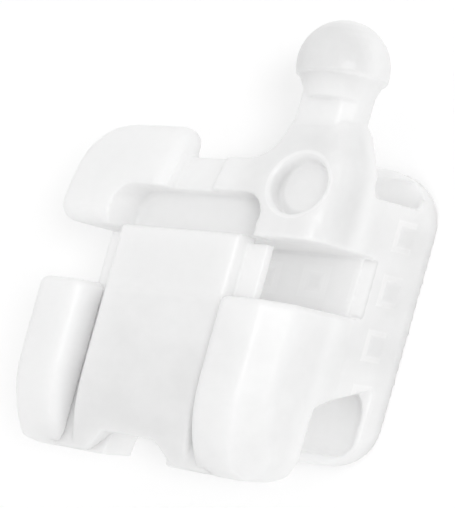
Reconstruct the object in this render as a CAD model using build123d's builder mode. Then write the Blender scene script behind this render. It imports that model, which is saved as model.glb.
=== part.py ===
from build123d import *
import math
import os

# Self-ligating ceramic bracket. X runs along the archwire slot, Y towards the hook, Z out of the tooth.
# The origin is on the plane of the pad's edges, straight behind the middle of the slot. Sizes are in mm.
# The body leans: x values in the plan are counted from a centre line that tips by tip_angle.

# Archwire slot
slot_height = 0.56
slot_depth = 0.71
slot_end_chamfer = 0.09
tip_angle = 8.4

# Heights above the pad's edges
slot_floor_z = 0.75
pocket_floor_z = 1.34
wing_back_z = 1.02
lower_wing_rise = 0.22
upper_wing_front_z = 1.82
hook_wing_front_z = 1.75

# Plan of the wings
body_half_width = 1.48
lower_wing_tip_y = -1.87
upper_wing_tip_y = 1.29
upper_wing_inner_x = -0.31
body_top_y = 1.0
upper_wing_corner = 0.52
upper_wing_slot_corner = 0.17
upper_wing_inner_corner = 0.17

# Edges of the lower wings, as shares of their width: a bevel on the outer side, and rounds
bevel_share = 0.34
ridge_share = 0.11
shoulder_share = 0.18
inner_round_share = 0.17
slot_corner_share = 0.09
tip_corner_share = 0.48
tip_ease = 0.1
tip_ease_angle = 66

# Fronts of the wings, which are flat beside the slot and fall back in an arc towards their tips
lower_roll_start_y = -1.05
lower_roll_drop = 0.367
upper_roll_start_y = 0.15
upper_roll_drop = 0.302
hook_roll_drop = 0.382
upper_wing_round = 0.15
upper_wing_lap = 0.02
upper_wing_back_round = 0.05
wing_back_round = 0.12
hook_side_round = 0.2
wing_lap = 0.18

# Bonding pad
pad_half_width = 1.65
pad_top_y = 1.18
pad_bottom_y = -1.66
pad_corner = 0.48
pad_rim_height = 0.14
pad_thickness = 0.17
pad_lip_rise = 0.11
pad_lip_width = 0.1
pad_lip_round = 0.03
pad_curve_radius = 8.0

# Web between the pad and the wings, with a ligature groove above and below it
upper_web_y = 0.81
lower_web_y = -0.9
lower_web_slant = 0.24
web_knee_z = 0.3
groove_round = 0.12
lower_hollow_corner = 0.2
upper_hollow_corner = 0.1
hollow_round = 0.06

# Retention pits in the back of the pad
pit_size = 0.25
pit_depth = 0.31
shallow_pit_depth = 0.08
pit_pitch_x = 0.545
pit_pitch_y = 0.515
pit_columns = 6
pit_rows = 4

# Tool pocket above the slide, and the channel between the upper wings
pocket_half_width = 0.82
pocket_top_y = 0.67
pocket_corner = 0.2
channel_right_x = 0.2
channel_drop = 0.13

# Hook on the upper right wing
neck_inset = 0.205
neck_width = 0.61
neck_step = 0.015
neck_base_y = 1.42
neck_front_z = 1.42
neck_chamfer = 0.13
neck_round = 0.05
neck_fillet = 0.28
hook_shoulder = 0.3
ball_radius = 0.43
ball_inset = 0.55
ball_y = 1.92
ball_z = 1.22
ball_skirt_drop = 0.11
collar_radius = 0.385
collar_foot_radius = 0.29
collar_foot_drop = 0.32
dimple_radius = 0.275
dimple_depth = 0.17
dimple_bevel = 0.045
dimple_bevel_angle = 45
dimple_inset = 0.4
dimple_y = 0.78

# Slide, and the guide that it runs in
slide_half_width = 0.68
slide_thickness = 0.27
slide_top_y = 0.29
slide_setback = 0.02
slide_edge_round = 0.045
slide_roll_lag = 0.1
slide_roll_drop = 0.173
guide_gap = 0.095
rail_half_width = 0.9
rail_thickness = 0.11
rail_end_gap = 0.05
side_clearance = 0.02
face_clearance = 0.02
slide_travel = 0.62
notch_half_width = 0.52
notch_top_half_width = 0.3
notch_height = 0.21
notch_corner = 0.1
support_notch_radius = 0.36

# Spring pin that holds the slide
pin_radius = 0.13
pin_wall = 0.05
pin_slit = 0.05
pin_y = -1.06
pin_depth = 0.3
pin_reach = 0.1
pin_clearance = 0.02
keyhole_ease = 0.02

# Values that follow from the sizes above
lean_slope = math.tan(math.radians(tip_angle))
lean = Vector(math.sin(math.radians(tip_angle)), math.cos(math.radians(tip_angle)), 0)
half_slot = slot_height / 2
slide_back_z = slot_floor_z + slot_depth
slide_front_z = slide_back_z + slide_thickness
lower_wing_front_z = slide_front_z + lower_wing_rise
support_z = slide_back_z - face_clearance
slide_bottom_y = lower_wing_tip_y + slide_setback
slide_roll_start_y = lower_roll_start_y - slide_roll_lag
guide_half_width = slide_half_width + guide_gap
wing_width = body_half_width - guide_half_width
wing_slot_corner = slot_corner_share * wing_width
neck_right_x = body_half_width - neck_inset
neck_left_x = neck_right_x - neck_width
ball_x = body_half_width - ball_inset
ball_skirt_y = ball_y - ball_skirt_drop
collar_foot_y = ball_y - collar_foot_drop
dimple_x = body_half_width - dimple_inset
lower_web_back = lower_web_y - lower_web_slant - wing_lap
upper_web_back = upper_web_y + wing_lap
rail_room_half_width = rail_half_width + side_clearance
rail_room_top_z = slide_back_z + rail_thickness + face_clearance
front_z = max(lower_wing_front_z, upper_wing_front_z, hook_wing_front_z)
pad_middle_y = (pad_top_y + pad_bottom_y) / 2
reach = 2 * (pad_half_width + ball_y + ball_radius)


def on_plan(x, y):
    """Point of the plan, moved along the slot by the body's lean."""
    return (x + y * lean_slope, y)


def leaning_block(left, right, bottom, top, radii=(0, 0, 0, 0)):
    """Plan of a block with leaning sides: lower left, lower right, upper right and upper left corner."""
    corners = [on_plan(left, bottom), on_plan(right, bottom), on_plan(right, top), on_plan(left, top)]
    with BuildSketch() as block:
        with BuildLine():
            FilletPolyline(*corners, radius=radii, close=True)
        make_face()
    return block.sketch


def arc_radius(run, drop):
    """Radius of an arc that starts level and has fallen by a drop after a run."""
    return (run**2 + drop**2) / (2 * drop)


lower_roll_radius = arc_radius(lower_wing_tip_y - lower_roll_start_y, lower_roll_drop)
upper_roll_radius = arc_radius(upper_wing_tip_y - upper_roll_start_y, upper_roll_drop)
hook_roll_radius = arc_radius(neck_base_y - upper_roll_start_y, hook_roll_drop)
slide_roll_radius = arc_radius(slide_bottom_y - slide_roll_start_y, slide_roll_drop)


def roll_drop(offset, roll_radius):
    """How far a rolled front has fallen back at a distance from where the roll starts."""
    return roll_radius - math.sqrt(roll_radius**2 - offset**2)


def rolled_side(front, start_y, tip_y, roll_radius, back=wing_back_z, back_round=wing_back_round):
    """Side view of a wing: a front that is flat up to start_y and rolls back to the tip, and a round back."""
    outward = math.copysign(1, tip_y - start_y)
    far_y = -outward * reach
    with BuildSketch(Plane.YZ) as side:
        with BuildLine():
            tip_front = (tip_y, front - roll_drop(tip_y - start_y, roll_radius))
            TangentArc((start_y, front), tip_front, tangent=(outward, 0))
            FilletPolyline(
                tip_front,
                (tip_y, back),
                (far_y, back),
                (far_y, front),
                (start_y, front),
                radius=(back_round, 0, 0),
            )
        make_face()
    return side.sketch


def rounds(part, radius):
    """Faces of a part that lie on a cylinder of this radius."""
    return part.faces().filter_by(GeomType.CYLINDER).filter_by(lambda f: abs(f.radius - radius) < 1e-4)


def rim(faces):
    """Edges round a group of faces, without the seams between them."""
    edges = [edge for face in faces for edge in face.edges()]
    return ShapeList(e for e in edges if sum(e.is_same(other) for other in edges) == 1)


def front_rim(part, front, roll_radius):
    """Edges round the flat and rolled front of a wing."""
    flat = part.faces().filter_by(Axis.Z).filter_by(lambda f: abs(f.center().Z - front) < 1e-4)
    return rim(flat + rounds(part, roll_radius))


def plan_x(shape):
    """Where an edge or a face lies across the plan, counted from the leaning centre line."""
    return shape.center().X - shape.center().Y * lean_slope


def lower_tip():
    """Side view of the end of the lower wings: an upright tip, eased where it meets the rolled front."""
    edge_z = lower_wing_front_z - roll_drop(lower_wing_tip_y - lower_roll_start_y, lower_roll_radius) - tip_ease
    top_z = 2 * front_z
    with BuildSketch(Plane.YZ) as side:
        with BuildLine():
            FilletPolyline(
                (lower_wing_tip_y, wing_back_z),
                (lower_wing_tip_y, edge_z),
                (lower_wing_tip_y + (top_z - edge_z) / math.tan(math.radians(tip_ease_angle)), top_z),
                (reach, top_z),
                (reach, wing_back_z),
                radius=(wing_back_round, wing_back_round, 0, 0, 0),
                close=True,
            )
        make_face()
    return side.sketch


def lower_wing(side):
    """Tie wing beside the slide, on the left (-1) or on the right (1), with a bevel on its outer edge."""
    left, right = sorted((side * guide_half_width, side * body_half_width))
    tip_corner = tip_corner_share * wing_width
    radii = (0, tip_corner, 0, 0) if side > 0 else (tip_corner, 0, 0, 0)
    long_tip_y = lower_wing_tip_y - tip_ease
    with BuildPart() as wing:
        extrude(leaning_block(left, right, long_tip_y, 0), amount=2 * front_z)
        profile = rolled_side(lower_wing_front_z, lower_roll_start_y, long_tip_y, lower_roll_radius)
        extrude(profile, amount=reach, both=True, mode=Mode.INTERSECT)

        # The rim has a flat and a rolled stretch on each side: the outer two come last, the inner two first
        def across_rim():
            return front_rim(wing, lower_wing_front_z, lower_roll_radius).sort_by(lambda e: side * plan_x(e))

        chamfer(across_rim()[-2:], bevel_share * wing_width)
        fillet(across_rim()[-2:], ridge_share * wing_width)
        flank = wing.faces().sort_by(lambda f: side * plan_x(f))[-1]
        fillet(flank.edges().sort_by(Axis.Z)[-2:], shoulder_share * wing_width)
        fillet(across_rim()[:2], inner_round_share * wing_width)
        plan = leaning_block(left, right, lower_wing_tip_y, -half_slot, radii)
        extrude(plan, amount=2 * front_z, mode=Mode.INTERSECT)
        slot_end = wing.faces().sort_by(Axis.Y)[-1]
        fillet(slot_end.edges().sort_by(Axis.Z)[1:], wing_slot_corner)
        extrude(lower_tip(), amount=reach, both=True, mode=Mode.INTERSECT)
    return wing.part


def upper_left_wing():
    """Tie wing on the left above the slot, with one large round corner."""
    with BuildPart() as wing:
        plan = leaning_block(
            -body_half_width,
            upper_wing_inner_x,
            half_slot,
            upper_wing_tip_y,
            (upper_wing_slot_corner, 0, upper_wing_inner_corner, upper_wing_corner),
        )
        extrude(plan, amount=2 * front_z)
        profile = rolled_side(
            upper_wing_front_z,
            upper_roll_start_y,
            upper_wing_tip_y,
            upper_roll_radius,
            back=pocket_floor_z - upper_wing_lap,
            back_round=upper_wing_back_round,
        )
        extrude(profile, amount=reach, both=True, mode=Mode.INTERSECT)
        fillet(front_rim(wing, upper_wing_front_z, upper_roll_radius), upper_wing_round)
    return wing.part


def hook_wing():
    """Wing on the right above the slot, which narrows to the neck of the hook."""
    left = (upper_wing_inner_x - body_half_width) / 2
    with BuildPart() as wing:
        with BuildSketch():
            with BuildLine():
                FilletPolyline(
                    on_plan(left, half_slot),
                    on_plan(body_half_width, half_slot),
                    on_plan(body_half_width, body_top_y),
                    on_plan(neck_right_x, neck_base_y),
                    on_plan(neck_left_x, neck_base_y),
                    on_plan(neck_left_x, body_top_y),
                    on_plan(left, body_top_y),
                    radius=(0, 0, hook_shoulder, 0, 0, neck_fillet, 0),
                    close=True,
                )
            make_face()
        extrude(amount=2 * front_z)
        profile = rolled_side(hook_wing_front_z, upper_roll_start_y, neck_base_y, hook_roll_radius)
        extrude(profile, amount=reach, both=True, mode=Mode.INTERSECT)
        edges = front_rim(wing, hook_wing_front_z, hook_roll_radius)
        fillet(edges.filter_by(lambda e: plan_x(e) > neck_right_x), hook_side_round)
    return wing.part


def round_back(height):
    """Section across the lean of the round that the pad's back lies on, raised by a height."""
    across = Plane(origin=(0, 0, 0), x_dir=(lean.Y, -lean.X, 0), z_dir=(-lean.X, -lean.Y, 0))
    with BuildSketch(across) as section:
        with Locations((0, -math.sqrt(pad_curve_radius**2 - (pad_half_width * lean.Y) ** 2))):
            Circle(pad_curve_radius + height)
    return section.sketch


def groove_hollow(bottom, top, corner):
    """Space cut into the pad beside the web, down to an even wall that follows the round back."""
    half_width = pad_half_width - pad_lip_width
    plan = leaning_block(-half_width, half_width, bottom, top, [corner] * 4)
    with BuildPart() as hollow:
        extrude(plan, amount=front_z)
        extrude(round_back(pad_thickness), amount=reach, both=True, mode=Mode.SUBTRACT)
        fillet(rim(rounds(hollow, pad_curve_radius + pad_thickness)), hollow_round)
    return hollow.part


def pit_row(y, depth):
    """Row of square retention pits, as deep everywhere from the round back."""
    with BuildPart() as pits:
        with BuildSketch():
            for column in range(pit_columns):
                with Locations(on_plan((column - (pit_columns - 1) / 2) * pit_pitch_x, y)):
                    Rectangle(pit_size, pit_size)
        extrude(amount=front_z)
        extrude(round_back(depth), amount=reach, both=True, mode=Mode.INTERSECT)
    return pits.part


# Pad: a plate on a round back, with a hollow above and below the web that leaves a lip round its edge
with BuildPart() as pad:
    outline = leaning_block(-pad_half_width, pad_half_width, pad_bottom_y, pad_top_y, [pad_corner] * 4)
    extrude(outline, amount=front_z)
    extrude(round_back(pad_thickness + pad_lip_rise), amount=reach, both=True, mode=Mode.INTERSECT)
    fillet(rim(rounds(pad, pad_curve_radius + pad_thickness + pad_lip_rise)), pad_lip_round)
    add(groove_hollow(pad_bottom_y + pad_lip_width, lower_web_y, lower_hollow_corner), mode=Mode.SUBTRACT)
    add(groove_hollow(upper_web_y, pad_top_y - pad_lip_width, upper_hollow_corner), mode=Mode.SUBTRACT)

# Core: pad, web and slot floor, with the corners of the slot's ends rounded
with BuildPart() as core:
    with BuildSketch(Plane.YZ):
        with BuildLine():
            FilletPolyline(
                (lower_web_y, 0),
                (lower_web_y, web_knee_z),
                (lower_web_y - lower_web_slant, wing_back_z),
                (lower_web_back, wing_back_z),
                (lower_web_back, support_z),
                (-half_slot, support_z),
                (-half_slot, slot_floor_z),
                (half_slot, slot_floor_z),
                (half_slot, pocket_floor_z),
                (upper_web_back, pocket_floor_z),
                (upper_web_back, wing_back_z),
                (upper_web_y, wing_back_z),
                (upper_web_y, 0),
                radius=[0, 0, groove_round] + [0] * 8 + [groove_round, 0],
                close=True,
            )
        make_face()
    extrude(amount=reach, both=True)
    extrude(outline, amount=front_z, mode=Mode.INTERSECT)
    add(pad.part)
    with BuildSketch(Plane.XZ):
        with BuildLine():
            flank = Polyline(
                (0, 0),
                (pad_half_width, 0),
                (pad_half_width, pad_rim_height),
                (body_half_width, slot_floor_z),
                (body_half_width, front_z),
                (0, front_z),
            )
            mirror(flank, about=Plane.YZ)
        make_face()
    extrude(amount=reach, both=True, dir=lean, mode=Mode.INTERSECT)
    slot_floor = core.faces().filter_by(Axis.Z).sort_by(lambda f: abs(f.center().Z - slot_floor_z))[0]
    chamfer(slot_floor.edges().filter_by(lambda e: abs(e.center().Y) < half_slot / 2), slot_end_chamfer)
    with BuildSketch(Plane.XY.offset(slot_floor_z)):
        add(leaning_block(-pad_half_width, pad_half_width, -slot_height, slot_height))
        left, right = -body_half_width, body_half_width
        corners = (0, 0, wing_slot_corner, wing_slot_corner)
        add(leaning_block(left, right, -body_top_y, -half_slot, corners), mode=Mode.SUBTRACT)
        corners = (upper_wing_slot_corner, 0, 0, 0)
        add(leaning_block(left, right, half_slot, body_top_y, corners), mode=Mode.SUBTRACT)
    extrude(amount=front_z, mode=Mode.SUBTRACT)

# Hook: a bevelled neck that stands a step inside the wing's end, with a collar, and a ball on top
with BuildPart() as hook:
    ball_centre = on_plan(ball_x, ball_y)
    with BuildSketch(Plane.XZ.offset(-body_top_y)):
        left = neck_left_x + neck_step + body_top_y * lean_slope
        right = neck_right_x - neck_step + body_top_y * lean_slope
        with BuildLine():
            FilletPolyline(
                (left, wing_back_z + neck_step),
                (right, wing_back_z + neck_step),
                (right, neck_front_z - neck_chamfer),
                (right - neck_chamfer, neck_front_z),
                (left, neck_front_z),
                radius=neck_round,
                close=True,
            )
        make_face()
    extrude(amount=(ball_skirt_y - body_top_y) / lean.Y, dir=lean)
    with BuildSketch(Plane.XY.offset(ball_z)):
        with BuildLine():
            skirt_radius = math.sqrt(ball_radius**2 - (ball_y - ball_skirt_y) ** 2)
            axis_foot = (ball_centre[0], collar_foot_y)
            dome_foot = (ball_centre[0] + skirt_radius, ball_skirt_y)
            crown = (ball_centre[0], ball_y + ball_radius)
            Polyline(
                crown,
                axis_foot,
                (ball_centre[0] + collar_foot_radius, collar_foot_y),
                (ball_centre[0] + collar_radius, ball_skirt_y),
                dome_foot,
            )
            ThreePointArc(dome_foot, (ball_centre[0] + ball_radius, ball_y), crown)
        make_face()
    revolve(axis=Axis((ball_centre[0], 0, ball_z), (0, 1, 0)))

# Channel between the upper wings: what stands above a front that lies lower than the hook wing's
with BuildPart() as channel:
    plan = leaning_block(upper_wing_inner_x, channel_right_x, half_slot, neck_base_y)
    extrude(plan, amount=front_z)
    profile = rolled_side(hook_wing_front_z - channel_drop, upper_roll_start_y, neck_base_y, hook_roll_radius)
    extrude(profile, amount=reach, both=True, mode=Mode.SUBTRACT)
    extrude(Plane.XY * plan, amount=wing_back_z, mode=Mode.SUBTRACT)

# Body: core, wings and hook as one moulding, with the guide, pocket, dimple and pits cut out
with BuildPart() as bracket_body:
    add(core.part)
    support = leaning_block(-rail_half_width, rail_half_width, lower_wing_tip_y, -half_slot)
    extrude(Plane.XY.offset(wing_back_z) * support, amount=support_z - wing_back_z)
    add([lower_wing(-1), lower_wing(1), upper_left_wing(), hook_wing(), hook.part])

    rail_room = leaning_block(-rail_room_half_width, rail_room_half_width, -reach, half_slot)
    extrude(Plane.XY.offset(support_z) * rail_room, amount=rail_room_top_z - support_z, mode=Mode.SUBTRACT)

    with BuildSketch(Plane.XY.offset(wing_back_z)):
        with Locations(on_plan(0, lower_wing_tip_y)):
            Circle(support_notch_radius)
    extrude(amount=support_z - wing_back_z, mode=Mode.SUBTRACT)

    pocket = leaning_block(
        -pocket_half_width, pocket_half_width, 0, pocket_top_y, (0, 0, pocket_corner, pocket_corner)
    )
    extrude(Plane.XY.offset(pocket_floor_z) * pocket, amount=front_z, mode=Mode.SUBTRACT)
    add(channel.part, mode=Mode.SUBTRACT)

    tilt = math.asin((dimple_y - upper_roll_start_y) / hook_roll_radius)
    dimple_z = hook_wing_front_z - roll_drop(dimple_y - upper_roll_start_y, hook_roll_radius)
    dimple_face = Plane(
        origin=(*on_plan(dimple_x, dimple_y), dimple_z), x_dir=(1, 0, 0), z_dir=(0, math.sin(tilt), math.cos(tilt))
    )
    with BuildSketch(dimple_face.offset(-dimple_depth)):
        Circle(dimple_radius)
    extrude(amount=2 * dimple_depth, mode=Mode.SUBTRACT)
    with BuildSketch(dimple_face.offset(-dimple_bevel)):
        Circle(dimple_radius)
    extrude(amount=2 * dimple_bevel, taper=-dimple_bevel_angle, mode=Mode.SUBTRACT)

    with BuildSketch(Plane.XY.offset(support_z)):
        with Locations(on_plan(0, pin_y)):
            Circle(pin_radius)
    extrude(amount=-pin_depth, mode=Mode.SUBTRACT)

    extrude(round_back(0), amount=reach, both=True, mode=Mode.SUBTRACT)
    for row in range(pit_rows):
        y = pad_middle_y + (row - (pit_rows - 1) / 2) * pit_pitch_y
        under_web = lower_web_y < y - pit_size / 2 and y + pit_size / 2 < upper_web_y
        add(pit_row(y, pit_depth if under_web else shallow_pit_depth), mode=Mode.SUBTRACT)

# Slide: a plate with a rail along each side, an arch notch below and a keyhole for the pin in its back
with BuildPart() as ligating_slide:
    back = Plane.XY.offset(slide_back_z)
    plate = leaning_block(-slide_half_width, slide_half_width, slide_bottom_y, slide_top_y)
    extrude(back * plate, amount=slide_thickness)
    profile = rolled_side(slide_front_z, slide_roll_start_y, slide_bottom_y, slide_roll_radius)
    extrude(profile, amount=reach, both=True, mode=Mode.INTERSECT)
    fillet(front_rim(ligating_slide, slide_front_z, slide_roll_radius), slide_edge_round)
    rails = leaning_block(-rail_half_width, rail_half_width, slide_bottom_y, half_slot - rail_end_gap)
    extrude(back * rails, amount=rail_thickness)
    extrude(profile, amount=reach, both=True, mode=Mode.INTERSECT)

    with BuildSketch(back):
        with BuildLine():
            Polyline(
                on_plan(-notch_half_width, slide_bottom_y),
                on_plan(-notch_top_half_width, slide_bottom_y + notch_height),
                on_plan(notch_top_half_width, slide_bottom_y + notch_height),
                on_plan(notch_half_width, slide_bottom_y),
                close=True,
            )
        make_face()
    extrude(amount=slide_thickness, mode=Mode.SUBTRACT)
    upright = ligating_slide.edges().filter_by(Axis.Z)
    fillet(upright.filter_by(lambda e: abs(plan_x(e)) < notch_half_width + side_clearance), notch_corner)

    with BuildSketch(back):
        shut = Vector(*on_plan(0, pin_y))
        opened = shut + lean * slide_travel
        with Locations(shut, opened):
            Circle(pin_radius + pin_clearance + keyhole_ease)
        neck_half_width = pin_radius + pin_clearance
        with BuildLine():
            Polyline(
                on_plan(-neck_half_width, shut.Y),
                on_plan(neck_half_width, shut.Y),
                on_plan(neck_half_width, opened.Y),
                on_plan(-neck_half_width, opened.Y),
                close=True,
            )
        make_face()
    extrude(amount=pin_reach + face_clearance, mode=Mode.SUBTRACT)

# Spring pin: a rolled tube, slit along its length
with BuildPart() as spring_pin:
    with BuildSketch(Plane.XY.offset(support_z - pin_depth)):
        with Locations(on_plan(0, pin_y)):
            Circle(pin_radius)
            Circle(pin_radius - pin_wall, mode=Mode.SUBTRACT)
            Rectangle(pin_slit, pin_radius, align=(Align.CENTER, Align.MIN), mode=Mode.SUBTRACT)
    extrude(amount=slide_back_z + pin_reach - (support_z - pin_depth))

os.makedirs("parts", exist_ok=True)
pieces = {"bracket_body": bracket_body, "ligating_slide": ligating_slide, "spring_pin": spring_pin}
for name, piece in pieces.items():
    piece.part.label = name
    export_step(piece.part, f"parts/{name}.step")
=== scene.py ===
import logging
import math
from dataclasses import dataclass, field
from enum import Enum
from typing import Any, NamedTuple

import bpy
from mathutils import Matrix, Vector


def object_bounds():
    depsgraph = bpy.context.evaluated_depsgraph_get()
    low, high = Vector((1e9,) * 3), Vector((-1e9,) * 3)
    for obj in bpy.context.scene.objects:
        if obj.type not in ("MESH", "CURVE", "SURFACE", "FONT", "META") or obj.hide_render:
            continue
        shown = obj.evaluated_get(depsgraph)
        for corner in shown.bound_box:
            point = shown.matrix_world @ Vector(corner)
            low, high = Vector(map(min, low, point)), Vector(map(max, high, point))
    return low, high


LOG = logging.getLogger("bracket")
MM = 0.001
IMAGE_SIZE = (455, 508)

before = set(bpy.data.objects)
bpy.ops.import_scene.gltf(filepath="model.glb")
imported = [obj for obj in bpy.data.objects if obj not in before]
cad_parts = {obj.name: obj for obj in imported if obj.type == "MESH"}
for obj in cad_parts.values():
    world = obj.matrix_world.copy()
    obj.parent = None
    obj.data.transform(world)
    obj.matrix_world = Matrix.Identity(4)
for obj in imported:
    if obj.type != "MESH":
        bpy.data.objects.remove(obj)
cad_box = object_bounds()


class Side(Enum):
    """Where a lamp stands, as seen from the camera: shares of right, up and towards the camera."""

    KEY = (0.14, 0.04, 1.0)


class Measure(Enum):
    """What tells one place on a ceramic piece from another. Lengths are in mm."""

    ALONG_SLOT = "X of the place"
    TOWARDS_HOOK = "Y of the place"
    OUT_OF_TOOTH = "Z of the place"
    FROM_SLOT = "distance from the slot's middle line"
    SIDEWAYS = "how far the face looks to either side"
    FORWARD = "how far the face looks out of the tooth"
    FLOOR_PIT = "distance from the middle of the pit that shows through the slot's floor"
    FLANK_PIT = "distance from the middle of the pit that shows through a flank"
    FROM_DIMPLE = "distance from the dimple's axis"


class Edge(NamedTuple):
    """Where a change of shade fades in: it starts at one value of a measure and is full from another."""

    measure: Measure
    start: float
    full: float


@dataclass(frozen=True)
class Patch:
    """A place of painted light or shade, where a ceramic piece looks lighter or darker inside all of its
    edges.
    """

    what: str
    change: float
    edges: tuple[Edge, ...]


def linear(colour: str) -> tuple[float, float, float, float]:
    """Turns an sRGB hex colour into linear light.

    Args:
        colour: Six hex digits, such as "f2f4f4".

    Returns:
        Red, green, blue and an alpha of 1.
    """
    shares = [int(colour[i : i + 2], 16) / 255 for i in (0, 2, 4)]
    red, green, blue = (s / 12.92 if s <= 0.04045 else ((s + 0.055) / 1.055) ** 2.4 for s in shares)
    return red, green, blue, 1.0


def add_node(
    tree: bpy.types.NodeTree, kind: str, settings: dict[str | int, Any], links: dict[str | int, Any]
) -> bpy.types.Node:
    """Adds one node to a material, sets it and links its inputs.

    Args:
        tree: The material's or world's node tree.
        kind: Blender's name for the node.
        settings: Values for the node's properties, its inputs by name or number, or its ramp's "stops".
        links: Output sockets by the name or number of the input that each one feeds.

    Returns:
        The new node.
    """
    node = tree.nodes.new(kind)
    properties = {n: v for n, v in settings.items() if isinstance(n, str) and hasattr(node, n)}
    for name, value in properties.items():
        setattr(node, name, value)
    for name, value in settings.items():
        if name == "stops":
            for stop, (position, colour) in zip(node.color_ramp.elements, value):
                stop.position, stop.color = position, linear(colour)
        elif name not in properties:
            node.inputs[name].default_value = value
    for name, socket in links.items():
        tree.links.new(socket, node.inputs[name])
    return node


def new_material(name: str) -> bpy.types.Material:
    """Makes an empty node material.

    Args:
        name: What the material is and how its surface was made.

    Returns:
        The material, with no nodes in it.
    """
    material = bpy.data.materials.new(name)
    material.use_nodes = True
    material.node_tree.nodes.clear()
    return material


def plain_rays(tree: bpy.types.NodeTree) -> bpy.types.NodeSocket:
    """Finds the rays that see a background as it is: straight from the camera, or by way of gloss or glass.

    Args:
        tree: The material's or world's node tree.

    Returns:
        A socket that is 1 for these rays and 0 for those that only carry light.
    """
    rays = add_node(tree, "ShaderNodeLightPath", {}, {}).outputs
    seen = rays["Is Camera Ray"]
    for other in ("Is Glossy Ray", "Is Transmission Ray"):
        sums = {"operation": "ADD", "use_clamp": True}
        seen = add_node(tree, "ShaderNodeMath", sums, {0: seen, 1: rays[other]}).outputs["Value"]
    return seen


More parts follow.
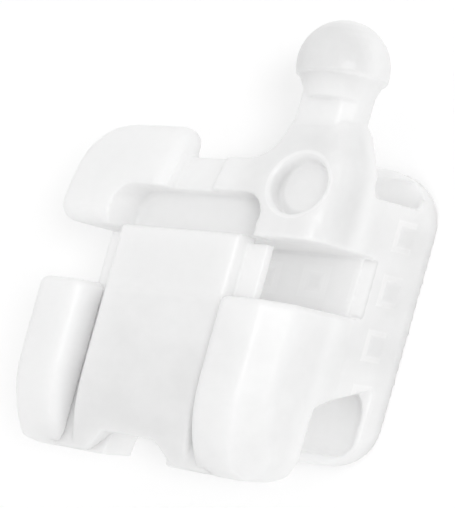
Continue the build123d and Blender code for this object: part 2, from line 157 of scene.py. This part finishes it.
@dataclass(frozen=True)
class SinteredAlumina:
    """Polycrystalline alumina, injection moulded and fired."""

    # Light goes some way into it, so it looks milky and its shadows are soft. Firing leaves a satin sheen.
    name: str = "alumina, injection moulded and fired"
    tint: str = "ffffff"
    # The darker end of the tint: random clouds reach towards it, and so do the patches of painted shade.
    cloud_and_shade_tint: str = "dedede"
    whiteness: float = 0.86
    mottle: float = 0.1
    scatter_mm: float = 0.25
    roughness: tuple[float, float] = (0.35, 0.47)
    ior: float = 1.76
    cloud_mm: float = 0.5
    cloud_span: tuple[float, float] = (0.3, 0.7)
    grain_mm: float = 0.03
    grain_height: float = 0.06

    def patches(self) -> list[Patch]:
        """Lists the places of painted light and shade: none on a plain piece."""
        return []

    def measures(self, tree: bpy.types.NodeTree, spot: bpy.types.NodeSocket) -> dict[Measure, Any]:
        """Works out the measures that the patches go by.

        Args:
            tree: The material's node tree.
            spot: Socket with the place on the object, in mm.

        Returns:
            A socket for each measure.
        """
        face = add_node(tree, "ShaderNodeTexCoord", {}, {}).outputs["Normal"]
        axes = {}
        for name, vector in (("spot", spot), ("face", face)):
            size = add_node(tree, "ShaderNodeVectorMath", {"operation": "ABSOLUTE"}, {0: vector})
            for key, socket in ((name, vector), (f"{name}, either side", size.outputs["Vector"])):
                axes[key] = add_node(tree, "ShaderNodeSeparateXYZ", {}, {0: socket}).outputs
        return {
            Measure.ALONG_SLOT: axes["spot"]["X"],
            Measure.TOWARDS_HOOK: axes["spot"]["Y"],
            Measure.OUT_OF_TOOTH: axes["spot"]["Z"],
            Measure.FROM_SLOT: axes["spot, either side"]["Y"],
            Measure.SIDEWAYS: axes["face, either side"]["X"],
            Measure.FORWARD: axes["face"]["Z"],
        }

    def shade(self, tree: bpy.types.NodeTree, spot: Any, clouds: Any) -> bpy.types.NodeSocket:
        """Works out how white the piece is at each place: random clouds, plus any patches of painted light
        and shade.

        Args:
            tree: The material's node tree.
            spot: Socket with the place on the object, in mm.
            clouds: Socket with the clouds of density.

        Returns:
            A socket that is 0 for the cloud and shade tint and 1 for the tint.
        """
        span = {"From Min": self.cloud_span[0], "From Max": self.cloud_span[1]}
        tone = {"To Min": self.whiteness - self.mottle, "To Max": self.whiteness + self.mottle}
        white = add_node(tree, "ShaderNodeMapRange", span | tone, {"Value": clouds}).outputs["Result"]
        measures = self.measures(tree, spot)
        for patch in self.patches():
            change = None
            for measure, start, full in patch.edges:
                none, all_of_it = ("To Min", "To Max") if start < full else ("To Max", "To Min")
                step = {"interpolation_type": "SMOOTHSTEP", none: 0.0, all_of_it: patch.change}
                step |= {"From Min": min(start, full), "From Max": max(start, full)}
                links = {"Value": measures[measure]}
                if change is not None:
                    # Each edge fades out what the edges before it have left.
                    links[all_of_it] = change
                change = add_node(tree, "ShaderNodeMapRange", step, links).outputs["Result"]
            adding = {"operation": "ADD", "label": patch.what}
            white = add_node(tree, "ShaderNodeMath", adding, {0: white, 1: change}).outputs["Value"]
        return white

    def material(self) -> bpy.types.Material:
        """Builds the material.

        Returns:
            A scattering ceramic with soft clouds of density and the orange-peel grain of a fired skin.
        """
        material = new_material(self.name)
        tree = material.node_tree
        place = add_node(tree, "ShaderNodeTexCoord", {}, {}).outputs["Object"]
        to_mm = {"operation": "MULTIPLY", 1: (1 / MM, 1 / MM, 1 / MM)}
        spot = add_node(tree, "ShaderNodeVectorMath", to_mm, {0: place}).outputs["Vector"]
        cloudy = {"Scale": 1 / self.cloud_mm, "Detail": 3.0, "Roughness": 0.6}
        clouds = add_node(tree, "ShaderNodeTexNoise", cloudy, {"Vector": spot}).outputs["Fac"]
        colour = add_node(
            tree,
            "ShaderNodeValToRGB",
            {"stops": [(0.0, self.cloud_and_shade_tint), (1.0, self.tint)]},
            {"Fac": self.shade(tree, spot, clouds)},
        )
        # The true grain of about 2 microns is far below a pixel, so it is drawn coarse enough to show.
        grainy = {"Scale": 1 / self.grain_mm, "Detail": 2.0}
        grain = add_node(tree, "ShaderNodeTexNoise", grainy, {"Vector": spot})
        skin = add_node(
            tree,
            "ShaderNodeBump",
            {"Strength": self.grain_height, "Distance": self.grain_mm * MM},
            {"Height": grain.outputs["Fac"]},
        )
        satin = {"To Min": self.roughness[0], "To Max": self.roughness[1]}
        sheen = add_node(tree, "ShaderNodeMapRange", satin, {"Value": clouds})
        surface = add_node(
            tree,
            "ShaderNodeBsdfPrincipled",
            {
                "IOR": self.ior,
                "Subsurface Weight": 1.0,
                "Subsurface Radius": (1.0, 1.0, 1.0),
                "Subsurface Scale": self.scatter_mm * MM,
                "subsurface_method": "RANDOM_WALK",
            },
            {
                "Base Color": colour.outputs["Color"],
                "Roughness": sheen.outputs["Result"],
                "Normal": skin.outputs["Normal"],
            },
        )
        add_node(tree, "ShaderNodeOutputMaterial", {}, {"Surface": surface.outputs["BSDF"]})
        return material


@dataclass(frozen=True)
class PittedAlumina(SinteredAlumina):
    """The body's ceramic, with the pits of the bonding pad behind it. Places are in mm."""

    # Where a wall is thin, the pits that show through are painted in: pale outlines with darker middles, as
    # painted light and shade. Thick places, which hold back light, get painted shade and look grey.
    lean: float = math.tan(math.radians(8.4))
    pit_pitch: tuple[float, float] = (0.545, 0.515)
    # Seen from the right through the floor, the pits seem to lie a little to the right of where they are.
    seen_pit: tuple[float, float] = (0.944, 0.0175)
    pit_half: float = 0.12
    pit_line: float = 0.04
    pit_heart: float = 0.04
    pit_top_z: float = 0.525
    slot_half: float = 0.3
    slot_mouth_z: float = 1.46
    slot_floor_z: float = 0.75
    flank_foot_z: float = 0.3
    neck_foot_y: float = 1.2
    ball_foot_y: float = 1.6
    dimple: tuple[float, float] = (1.195, 0.78)
    dimple_wall: float = 0.25
    dimple_rim: float = 0.305
    dimple_line: float = 0.025

    def measures(self, tree: bpy.types.NodeTree, spot: bpy.types.NodeSocket) -> dict[Measure, Any]:
        """Adds the measures for the pits and the dimple.

        Args:
            tree: The material's node tree.
            spot: Socket with the place on the object, in mm.

        Returns:
            A socket for each measure.
        """
        measures = super().measures(tree, spot)
        middle = Vector((*self.seen_pit, self.pit_top_z - self.pit_half))
        half_cell = Vector((self.pit_pitch[0] / 2, self.pit_pitch[1] / 2, cad_box[1].z / MM))
        # The plan is set upright, cut into cells of one pit each, and measured from the middle of a cell.
        offset = measures[Measure.TOWARDS_HOOK]
        for settings, links in (
            ({"operation": "MULTIPLY_ADD", 1: (-self.lean, 0, 0)}, {2: spot}),
            ({"operation": "WRAP", 1: middle + half_cell, 2: middle - half_cell}, {}),
            ({"operation": "SUBTRACT", 1: middle}, {}),
        ):
            offset = add_node(tree, "ShaderNodeVectorMath", settings, {0: offset} | links).outputs["Vector"]
        apart = add_node(tree, "ShaderNodeVectorMath", {"operation": "ABSOLUTE"}, {0: offset})
        above = add_node(tree, "ShaderNodeSeparateXYZ", {}, {0: offset}).outputs["Z"]
        sides = add_node(tree, "ShaderNodeSeparateXYZ", {}, {0: apart.outputs["Vector"]}).outputs
        for pit, across in ((Measure.FLOOR_PIT, sides["X"]), (Measure.FLANK_PIT, above)):
            larger = add_node(tree, "ShaderNodeMath", {"operation": "MAXIMUM"}, {0: sides["Y"], 1: across})
            measures[pit] = larger.outputs["Value"]
        flat = add_node(tree, "ShaderNodeVectorMath", {"operation": "MULTIPLY", 1: (1, 1, 0)}, {0: spot})
        from_axis = {"operation": "DISTANCE", 1: (*self.dimple, 0)}
        dimple = add_node(tree, "ShaderNodeVectorMath", from_axis, {0: flat.outputs["Vector"]})
        return measures | {Measure.FROM_DIMPLE: dimple.outputs["Value"]}

    def band(self, measure: Measure, middle: float, half_width: float) -> tuple[Edge, Edge]:
        """Gives the two edges of a soft line.

        Args:
            measure: What the line lies across.
            middle: Where its middle is.
            half_width: Half its width at the foot of its fades.

        Returns:
            The edge before the line and the edge after it.
        """
        core = half_width / 3
        before = Edge(measure, middle - half_width, middle - core)
        after = Edge(measure, middle + half_width, middle + core)
        return before, after

    def patches(self) -> list[Patch]:
        """Lists the places of painted light and shade.

        Returns:
            Painted shade on thick places, sides, flanks, the slot's end bevels and floor; painted light on
            the slot walls; the pits and the dimple in painted light and shade.
        """
        x, y, z = Measure.ALONG_SLOT, Measure.TOWARDS_HOOK, Measure.OUT_OF_TOOTH
        side, front = Measure.SIDEWAYS, Measure.FORWARD
        slot = (
            Edge(Measure.FROM_SLOT, self.slot_half, self.slot_half - 0.015),
            Edge(z, self.slot_mouth_z, self.slot_mouth_z - 0.06),
        )
        slot_end = (Edge(side, 0.35, 0.55), Edge(front, 0.4, 0.55))
        slot_floor = (
            Edge(z, self.slot_floor_z - 0.05, self.slot_floor_z - 0.02),
            Edge(z, self.slot_floor_z + 0.05, self.slot_floor_z + 0.02),
            Edge(front, 0.8, 0.9),
        )
        flank = (Edge(side, 0.75, 0.88), Edge(z, self.flank_foot_z, self.flank_foot_z + 0.04))
        neck = Edge(y, self.neck_foot_y, self.neck_foot_y + 0.3)
        below_neck = Edge(y, neck.full, neck.start)
        ball = (Edge(y, self.ball_foot_y, self.ball_foot_y + 0.3), Edge(front, 0.2, 0.8))
        right_wings = (Edge(x, 0.3, 0.75), below_neck, Edge(z, 1.0, 1.3))
        above_slot = Edge(y, self.slot_half - 0.04, self.slot_half + 0.04)
        hook_front = Edge(z, 1.2, 1.35)
        dimple_floor = Edge(Measure.FROM_DIMPLE, self.dimple_wall, self.dimple_wall - 0.04)
        dimple_rim = self.band(Measure.FROM_DIMPLE, self.dimple_rim, self.dimple_line)
        patches = [
            # Painted shade: the hook, the front of the ball, the right wings and the hook wing are drawn
            # darker, as thick places.
            Patch("hook", -0.2, (neck,)),
            Patch("painted shade on the ball's front", -0.45, ball),
            Patch("painted shade on the right wings", -0.15, right_wings),
            Patch("painted shade on the hook wing", -0.3, (*right_wings, above_slot)),
            # Painted shade on faces that look sideways, and more on the flanks low down.
            Patch("sides", -0.16, (Edge(side, 0.3, 0.95),)),
            Patch("flanks", -0.18, (Edge(z, 1.1, 0.8), Edge(side, 0.6, 0.9))),
            # Painted light on the slot walls; painted shade on the bevels at the slot's ends and on the
            # slot's floor.
            Patch("slot walls, lit through the body", 0.2, (*slot, Edge(side, 0.5, 0.3))),
            Patch("painted shade on the slot's end bevels", -0.5, (*slot, *slot_end)),
            Patch("slot floor", -0.12, slot_floor),
            # Painted light on the dimple's floor and a painted highlight along its rim.
            Patch("painted light on the dimple's floor", 0.35, (hook_front, dimple_floor)),
            Patch("painted highlight on the dimple's rim", 0.25, (hook_front, *dimple_rim)),
        ]
        # The pits behind thin walls are painted in: pale outlines as painted light, darker middles as painted
        # shade.
        for where, place, pit, outline, inside in (
            ("slot floor", slot_floor, Measure.FLOOR_PIT, 0.3, -0.3),
            ("flanks", flank, Measure.FLANK_PIT, 0.5, -0.08),
        ):
            line = self.band(pit, self.pit_half, self.pit_line)
            heart = Edge(pit, self.pit_half - self.pit_line / 2, self.pit_heart)
            patches.append(Patch(f"painted pale pit outlines through the {where}", outline, (*place, *line)))
            patches.append(Patch(f"painted shade of the pits through the {where}", inside, (*place, heart)))
        return patches


@dataclass(frozen=True)
class DoorAlumina(SinteredAlumina):
    """The slide's ceramic, injection moulded and lapped flat. Places are in mm."""

    # Painted shade: the thin plate is drawn greyer where it lies on the body, below the slot's edge, and
    # greyer towards its end, so it looks lighter over the open slot.
    name: str = "alumina, injection moulded and lapped"
    whiteness: float = 0.94
    scatter_mm: float = 0.12
    slot_edge_y: float = -0.3
    end_y: float = -1.85
    painted_shade: float = -0.3

    def patches(self) -> list[Patch]:
        """Lists the places of painted shade.

        Returns:
            The part below the slot's edge, and a slow darkening towards the slide's end.
        """
        on_body = Edge(Measure.TOWARDS_HOOK, self.slot_edge_y + 0.05, self.slot_edge_y - 0.07)
        to_end = Edge(Measure.TOWARDS_HOOK, self.slot_edge_y, self.end_y)
        # Painted shade below the slot's edge and towards the slide's end.
        return [
            Patch("on the body", self.painted_shade, (on_body,)),
            Patch("painted shade towards the end", self.painted_shade, (to_end,)),
        ]


@dataclass(frozen=True)
class RolledSpringSteel:
    """Stainless spring strip, rolled into a slit tube."""

    # Rolling leaves it bright, with fine lines along the rolling direction.
    name: str = "stainless spring steel, rolled"
    tint: str = "b4b5b8"
    roughness: tuple[float, float] = (0.18, 0.38)
    line_mm: float = 0.02
    line_stretch: float = 0.1

    def material(self) -> bpy.types.Material:
        """Builds the material.

        Returns:
            A bright metal whose roughness changes from one rolling line to the next.
        """
        material = new_material(self.name)
        tree = material.node_tree
        place = add_node(tree, "ShaderNodeTexCoord", {}, {}).outputs["Object"]
        stretch = {"Scale": (1.0, 1.0, self.line_stretch)}
        across = add_node(tree, "ShaderNodeMapping", stretch, {"Vector": place})
        fine = {"Scale": 1 / (self.line_mm * MM), "Detail": 2.0}
        lines = add_node(tree, "ShaderNodeTexNoise", fine, {"Vector": across.outputs["Vector"]})
        bright = {"To Min": self.roughness[0], "To Max": self.roughness[1]}
        sheen = add_node(tree, "ShaderNodeMapRange", bright, {"Value": lines.outputs["Fac"]})
        surface = add_node(
            tree,
            "ShaderNodeBsdfPrincipled",
            {"Base Color": linear(self.tint), "Metallic": 1.0},
            {"Roughness": sheen.outputs["Result"]},
        )
        add_node(tree, "ShaderNodeOutputMaterial", {}, {"Surface": surface.outputs["BSDF"]})
        return material


@dataclass
class FiredPiece:
    """A ceramic piece as it leaves the kiln: every edge drawn soft and every face even."""

    node: str
    finish: SinteredAlumina
    skin_mm: float
    keep: float = 1.0
    pull: float = 0.5
    passes: int = 3

    def soften(self) -> bpy.types.Object:
        """Gives the piece an even fine skin and rounds its edges a little.

        Returns:
            The CAD node's object, with its modifiers.
        """
        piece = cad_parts[self.node]
        skin = piece.modifiers.new("fired skin", "REMESH")
        skin.mode = "VOXEL"
        skin.voxel_size = self.skin_mm * MM
        skin.use_smooth_shade = True
        edges = piece.modifiers.new("soft edges", "SMOOTH")
        edges.factor = self.pull
        edges.iterations = self.passes
        if self.keep < 1:
            thinned = piece.modifiers.new("fewer faces where flat", "DECIMATE")
            thinned.ratio = self.keep
        return piece

    def dress(self) -> None:
        """Builds the skin and puts the finish on it."""
        piece = self.soften()
        piece.data.materials.clear()
        piece.data.materials.append(self.finish.material())
        LOG.info("%s: %s", self.node, self.finish.name)


@dataclass
class SpringPin:
    """The slit pin that holds the slide, mostly hidden."""

    node: str = "spring_pin"
    finish: RolledSpringSteel = field(default_factory=RolledSpringSteel)
    edge_mm: float = 0.008

    def dress(self) -> None:
        """Breaks the pin's edges and puts the finish on it."""
        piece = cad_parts[self.node]
        edges = piece.modifiers.new("broken edges", "BEVEL")
        edges.width = self.edge_mm * MM
        edges.segments = 2
        edges.limit_method = "ANGLE"
        piece.data.materials.clear()
        piece.data.materials.append(self.finish.material())
        LOG.info("%s: %s", self.node, self.finish.name)


@dataclass
class PhotoCamera:
    """The photograph's camera: a close view from the right of the bracket and a little below it."""

    turn_deg: float = 34.94
    below_deg: float = 3.977
    roll_deg: float = 8.70
    focal_px: float = 1587.2
    distance_mm: float = 15.186
    target_mm: tuple[float, float, float] = (0.09, 0.0, 0.75)
    target_px: tuple[float, float] = (238.43, 275.39)
    sensor_mm: float = 36.0
    nearest_mm: float = 0.1
    furthest_mm: float = 1000.0

    def axes(self) -> tuple[Vector, Vector, Vector]:
        """Works out the camera's directions.

        Returns:
            Unit vectors to the right, up, and from the bracket to the camera.
        """
        turn, below, roll = (math.radians(a) for a in (self.turn_deg, self.below_deg, self.roll_deg))
        back = Vector(
            (math.sin(turn) * math.cos(below), -math.sin(below), math.cos(turn) * math.cos(below))
        )
        level = Vector((math.cos(turn), 0, -math.sin(turn)))
        upright = Vector(
            (math.sin(turn) * math.sin(below), math.cos(below), math.cos(turn) * math.sin(below))
        )
        right = level * math.cos(roll) + upright * math.sin(roll)
        up = upright * math.cos(roll) - level * math.sin(roll)
        return right, up, back

    def target(self) -> Vector:
        """Gives the point that the camera was fitted to, in metres."""
        return Vector(self.target_mm) * MM

    def build(self) -> None:
        """Makes the camera and gives it to the scene."""
        right, up, back = self.axes()
        lens = bpy.data.cameras.new("photo camera")
        width, height = IMAGE_SIZE
        lens.sensor_fit = "AUTO"
        lens.sensor_width = self.sensor_mm
        lens.lens = self.focal_px / height * self.sensor_mm
        lens.shift_x = (width / 2 - self.target_px[0]) / height
        lens.shift_y = (self.target_px[1] - height / 2) / height
        lens.clip_start = self.nearest_mm * MM
        lens.clip_end = self.furthest_mm * MM
        camera = bpy.data.objects.new("photo camera", lens)
        bpy.context.collection.objects.link(camera)
        turned = Matrix((right, up, back)).transposed().to_4x4()
        camera.matrix_world = Matrix.Translation(self.target() + back * self.distance_mm * MM) @ turned
        bpy.context.scene.camera = camera


@dataclass
class Studio:
    """A white table in an even white room, with one soft lamp beside the camera."""

    camera: PhotoCamera
    floor_mm: float = 400.0
    floor_gap_mm: float = 0.002
    floor_tint: str = "f6f6f6"
    floor_roughness: float = 0.9
    floor_glow: float = 0.16
    room_tint: str = "ffffff"
    room_light: float = 0.81
    light_bounces: int = 24
    lamp_distance_mm: float = 60.0
    lamp_mm: float = 12.0
    lamp_watts: float = 0.0062

    def floor(self) -> None:
        """Lays the floor that the bonding pad rests on, which shows white and keeps the shadow."""
        half = self.floor_mm * MM / 2
        corners = [(-half, -half, 0), (half, -half, 0), (half, half, 0), (-half, half, 0)]
        mesh = bpy.data.meshes.new("floor")
        mesh.from_pydata(corners, [], [(0, 1, 2, 3)])
        floor = bpy.data.objects.new("floor", mesh)
        floor.location.z = cad_box[0].z - self.floor_gap_mm * MM
        bpy.context.collection.objects.link(floor)
        # Matt paper gives an even white with no gloss on it.
        material = new_material("white paper sweep, matt")
        tree = material.node_tree
        matt = {"Base Color": linear(self.floor_tint), "Roughness": self.floor_roughness}
        paper = add_node(tree, "ShaderNodeBsdfPrincipled", matt, {}).outputs["BSDF"]
        glow = add_node(tree, "ShaderNodeEmission", {"Strength": self.floor_glow}, {}).outputs["Emission"]
        lit = add_node(tree, "ShaderNodeAddShader", {}, {0: paper, 1: glow}).outputs["Shader"]
        seen = add_node(tree, "ShaderNodeMixShader", {}, {0: plain_rays(tree), 1: paper, 2: lit})
        add_node(tree, "ShaderNodeOutputMaterial", {}, {"Surface": seen.outputs["Shader"]})
        mesh.materials.append(material)

    def lamp(self, side: Side) -> None:
        """Hangs one soft square lamp.

        Args:
            side: Where it stands, as seen from the camera.
        """
        directions = self.camera.axes()
        towards = sum((d * share for d, share in zip(directions, side.value)), Vector()).normalized()
        light = bpy.data.lights.new(side.name.lower(), "AREA")
        light.size = self.lamp_mm * MM
        light.energy = self.lamp_watts
        lamp = bpy.data.objects.new(side.name.lower(), light)
        lamp.location = self.camera.target() + towards * self.lamp_distance_mm * MM
        lamp.rotation_mode = "QUATERNION"
        lamp.rotation_quaternion = towards.to_track_quat("Z", "Y")
        bpy.context.collection.objects.link(lamp)

    def room(self) -> None:
        """Fills the room with even light, which shows as plain white."""
        world = bpy.data.worlds.new("white room")
        world.use_nodes = True
        tree = world.node_tree
        tree.nodes.clear()
        white = {"To Min": self.room_light, "To Max": 1.0}
        level = add_node(tree, "ShaderNodeMapRange", white, {"Value": plain_rays(tree)}).outputs["Result"]
        walls = add_node(tree, "ShaderNodeBackground", {"Color": linear(self.room_tint)}, {"Strength": level})
        add_node(tree, "ShaderNodeOutputWorld", {}, {"Surface": walls.outputs["Background"]})
        bpy.context.scene.world = world
        # White walls pass light to and fro many times, which is what keeps the slot and the pocket bright.
        bpy.context.scene.cycles.max_bounces = self.light_bounces
        bpy.context.scene.cycles.diffuse_bounces = self.light_bounces

    def build(self) -> None:
        """Sets up floor, room and lamp."""
        bpy.context.scene.view_settings.view_transform = "Standard"
        self.floor()
        self.room()
        self.lamp(Side.KEY)


def main() -> None:
    """Dresses each piece of the bracket, then sets up the camera and the studio."""
    logging.basicConfig(level=logging.INFO)
    FiredPiece("bracket_body", PittedAlumina(), skin_mm=0.018, keep=0.47).dress()
    FiredPiece("ligating_slide", DoorAlumina(), skin_mm=0.015).dress()
    SpringPin().dress()
    camera = PhotoCamera()
    camera.build()
    Studio(camera).build()


if __name__ == "__main__":
    main()
